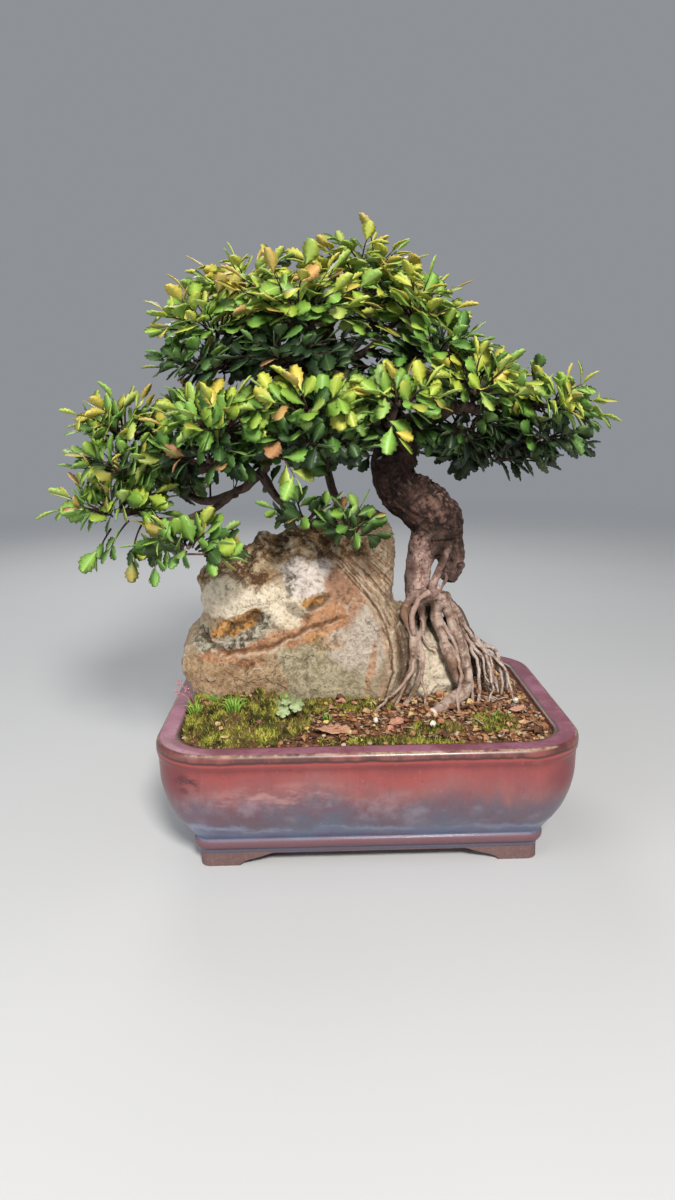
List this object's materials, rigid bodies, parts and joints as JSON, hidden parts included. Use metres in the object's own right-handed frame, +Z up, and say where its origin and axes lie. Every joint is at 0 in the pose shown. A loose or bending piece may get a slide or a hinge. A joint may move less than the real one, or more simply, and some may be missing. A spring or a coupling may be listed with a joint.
{
  "type": "chinese elm bonsai on a stone in a glazed pot",
  "caption": "Small-leaved elm trained over an upright stone, its roots gripping it, in a footed rectangular glazed pot with soil and moss.",
  "frame": {"origin": "bottom centre of the whole object's box, on the surface that the pot stands on", "axes": "+Z up; +X to the right along the pot's long side, as seen from the front; the front of the pot and of the planting faces -Y"},
  "size_m": [0.4058, 0.232, 0.45],
  "materials": {
    "glazed_pot": "glossy oxblood glaze running to blue-grey at the foot, bare clay feet",
    "screen_plastic": "black moulded mesh",
    "potting_soil": "dark crumbly soil with bits of bark",
    "stone": "rough, cream and sandy grey with ochre bands",
    "bark": "grey-brown bark with cross marks, paler on the roots",
    "foliage": "small toothed leaves, green to yellow-green, satin",
    "moss": "short dense moss",
    "seedling": "pale green, matt",
    "dry_leaf": "dry, red-brown",
    "grit": "white, porous"
  },
  "bodies": {
    "root": {"drain_screen_left": "screen_plastic", "drain_screen_right": "screen_plastic", "fallen_leaf_large": "dry_leaf", "fallen_leaf_right": "dry_leaf", "fallen_leaf_small": "dry_leaf", "foliage_back_low": "foliage", "foliage_centre_front": "foliage", "foliage_centre_low": "foliage", "foliage_centre_right_front": "foliage", "foliage_crown_back_left": "foliage", "foliage_crown_back_right": "foliage", "foliage_crown_front": "foliage", "foliage_crown_left": "foliage", "foliage_crown_low_front": "foliage", "foliage_crown_low_left": "foliage", "foliage_crown_low_right": "foliage", "foliage_crown_right": "foliage", "foliage_crown_shoulder": "foliage", "foliage_crown_top": "foliage", "foliage_left_back": "foliage", "foliage_left_front": "foliage", "foliage_left_low": "foliage", "foliage_left_tip": "foliage", "foliage_left_under": "foliage", "foliage_low_left_back": "foliage", "foliage_low_left_front": "foliage", "foliage_low_left_tip": "foliage", "foliage_over_stone": "foliage", "foliage_right_back": "foliage", "foliage_right_inner": "foliage", "foliage_right_low": "foliage", "foliage_right_low_front": "foliage", "foliage_right_tip": "foliage", "foliage_stone_spray": "foliage", "grit_front": "grit", "grit_middle": "grit", "grit_right": "grit", "moss_bank": "moss", "moss_patch": "moss", "pot": "glazed_pot", "seedling": "seedling", "soil": "potting_soil", "stone": "stone", "trunk_and_roots": "bark"}
  },
  "joints": []
}
